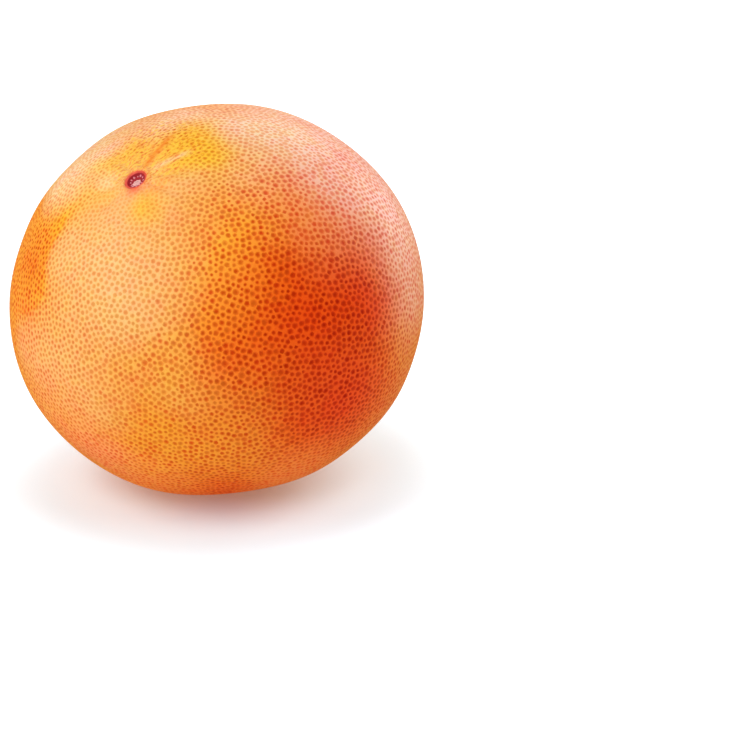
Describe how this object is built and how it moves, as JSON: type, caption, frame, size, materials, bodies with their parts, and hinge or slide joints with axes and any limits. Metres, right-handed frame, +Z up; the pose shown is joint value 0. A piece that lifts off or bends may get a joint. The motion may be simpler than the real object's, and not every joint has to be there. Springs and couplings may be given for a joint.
{
  "type": "pomelo",
  "caption": "Whole round citrus fruit of the pink pomelo and grapefruit kind, peel covered in oil glands, with a round stem scar, resting on a small flat spot.",
  "frame": {"origin": "middle of the fruit's box, at the height of the surface that it rests on", "axes": "+Z up; the stem end leans towards -Y; +X across the fruit's widest way"},
  "size_m": [0.1226, 0.1146, 0.1101],
  "materials": {
    "peel": "waxy citrus peel, softly glossy, pitted with oil glands, yellow-orange with a pink blush"
  },
  "bodies": {
    "root": {"fruit": "peel"}
  },
  "joints": []
}
